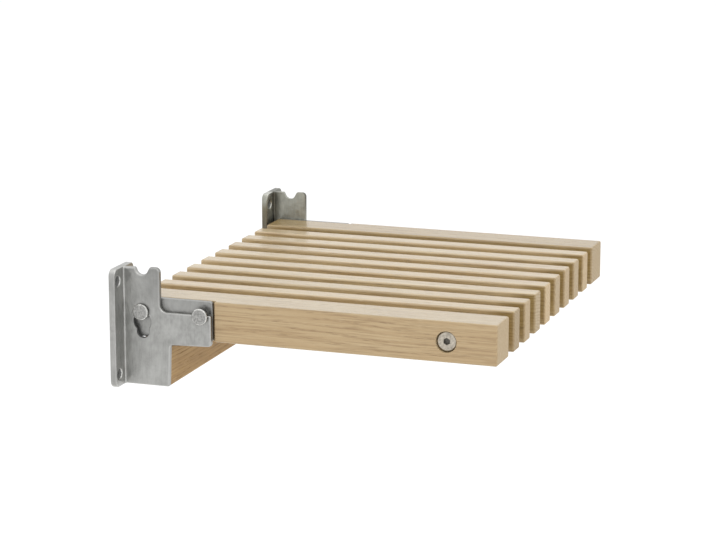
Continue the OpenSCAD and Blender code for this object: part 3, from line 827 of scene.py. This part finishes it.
FRONT_BOLT = [(-194.85, 0), (-194.85, 3.0, "hex"), (-194.6, 5.9, "hex"), (-197.05, 5.98, "hex"), (-197.35, 6.35, "hex"), (-197.5, 3.95), (-197.5, 4.2), (-197.5, 8.2), (-197.44, 8.7), (-197.25, 9.2),
              (-196.95, 9.55), (-196.5, 9.7), (-194.9, 9.7), (-194.6, 9.55), (-194.5, 9.3), (-194.5, 4.4), (-194.2, 4.0), (-170.6, 4.0), (-170.0, 3.4), (-170.0, 0)]
REAR_BOLT = [(-197.4, 0), (-197.4, 2.4, "hex"), (-197.2, 4.9, "hex"), (-199.7, 5.0, "hex"), (-199.95, 5.3, "hex"), (-200.0, 3.4), (-200.0, 7.6), (-199.9, 7.85), (-199.6, 7.75),
             (-196.2, 4.2), (-195.8, 4.0), (-170.6, 4.0), (-170.0, 3.4), (-170.0, 0)]
for side in ("left", "right"):
    mir = side == "right"
    turned_piece(f"{side}_front_bolt", [turned(FRONT_BOLT, *ROD_F, 96, mir)], "seat", BOLT, 30, [(*ROD_F, 6.0, 197.3)])
    turned_piece(f"{side}_rear_bolt", [turned(REAR_BOLT, *ROD_R, 96, mir)], "seat", TURNED, 30)
    screw = [(-198.6, 0), (-198.6, 1.4, "hex"), (-198.5, 2.94, "hex"), (-199.75, 3.0, "hex"), (-199.95, 3.2, "hex"), (-200.0, 2.1), (-200.0, 4.2), (-199.92, 4.42), (-199.7, 4.25),
             (-197.75, 2.3), (-197.5, 2.15), (-180.0, 2.15), (-175.6, 0.8), (-175.1, 0)]
    turned_piece(f"{side}_arm_screws", [turned(screw, sd, sz, 48, mir) for sd, sz in ARM_SCREWS], "seat", TURNED, 30)
    stud = [(-200.45, 0), (-200.45, 3.5), (-200.2, 3.9), (-176.2, 3.9), (-175.5, 3.2), (-175.5, 0)]
    turned_piece(f"{side}_beam_studs", [turned(stud, BEAM_D + k, BEAM_Z, 40, mir) for k in (-10, 10)], "wall_frame", TURNED)

ROD = [(-168.5, 0), (-169.0, 4.05), (-187.6, 4.05), (-188.0, 4.4), (-188.0, 5.5), (-187.5, 6.0), (187.5, 6.0), (188.0, 5.5), (188.0, 4.4), (187.6, 4.05), (169.0, 4.05), (168.5, 0)]
turned_piece("front_rod", [turned(ROD, *ROD_F, 64)], "seat", TURNED)
turned_piece("rear_rod", [turned(ROD, *ROD_R, 64)], "seat", TURNED)


def sleeves(d, z):
    out = []
    for i in range(9):
        a = -HW + RAIL_T + i * PITCH + 0.02
        b = a + GAP - 0.04
        out.append(turned([(a, 6.5), (a, 9.4), (a + 0.5, 9.95), (b - 0.5, 9.95), (b, 9.4), (b, 6.5), (b - 0.4, 6.1), (a + 0.4, 6.1)], d, z, 56))
    return out


turned_piece("front_spacers", sleeves(*ROD_F), "seat", TURNED)
turned_piece("rear_spacers", sleeves(*ROD_R), "seat", TURNED)

# ---------------------------------------------------------------- camera

ph, th, focal = 0.3357, 0.2226, 2502.75
look = Vector((math.cos(ph) * math.cos(th), math.sin(ph) * math.cos(th), -math.sin(th)))
right = Vector((math.sin(ph), -math.cos(ph), 0.0))
up = right.cross(look)
cam = bpy.data.cameras.new("camera")
cam.sensor_fit = "HORIZONTAL"
cam.sensor_width = 36.0
cam.lens = 36.0 * focal / 716.0
cam.clip_start, cam.clip_end = 0.05, 200.0
cam.shift_x, cam.shift_y = -0.5 / 716, 0.6 / 716
cam_ob = bpy.data.objects.new("camera", cam)
cam_ob.matrix_world = Matrix.Translation((-2.36933, -1.00377, 0.59135)) @ Matrix((right, up, -look)).transposed().to_4x4()
bpy.context.scene.collection.objects.link(cam_ob)
bpy.context.scene.camera = cam_ob

# ---------------------------------------------------------------- floor and light

fl = bpy.data.meshes.new("floor")
fl.from_pydata([(-40, -40, -0.45), (40, -40, -0.45), (40, 40, -0.45), (-40, 40, -0.45)], [], [(0, 1, 2, 3)])
floor = bpy.data.objects.new("floor", fl)
bpy.context.scene.collection.objects.link(floor)
pale = bpy.data.materials.new("floor_pale")
pale.use_nodes = True
pb = pale.node_tree.nodes["Principled BSDF"]
pb.inputs["Base Color"].default_value = (0.93, 0.93, 0.93, 1)
pb.inputs["Roughness"].default_value = 0.9
pb.inputs["Specular IOR Level"].default_value = 0.1
fl.materials.append(pale)

world = bpy.data.worlds.new("studio")
bpy.context.scene.world = world
world.use_nodes = True
bg = world.node_tree.nodes["Background"]
bg.inputs["Color"].default_value = (1.0, 1.0, 1.0, 1)
bg.inputs["Strength"].default_value = 1.1


def softbox(name, place, target, size, power, color=(1, 1, 1)):
    d = bpy.data.lights.new(name, "AREA")
    d.shape, d.size, d.size_y, d.energy, d.color = "RECTANGLE", size[0], size[1], power, color
    o = bpy.data.objects.new(name, d)
    o.location = place
    o.rotation_mode = "QUATERNION"
    o.rotation_quaternion = (Vector(target) - Vector(place)).to_track_quat("-Z", "Y")
    bpy.context.scene.collection.objects.link(o)
    return o


softbox("key", (-1.0, -2.2, 2.6), (0, -0.2, 0), (1.8, 1.8), 16)
softbox("top", (0.3, 0.2, 3.2), (0, -0.2, 0), (2.4, 2.4), 14)

bpy.context.scene.view_settings.view_transform = "Standard"
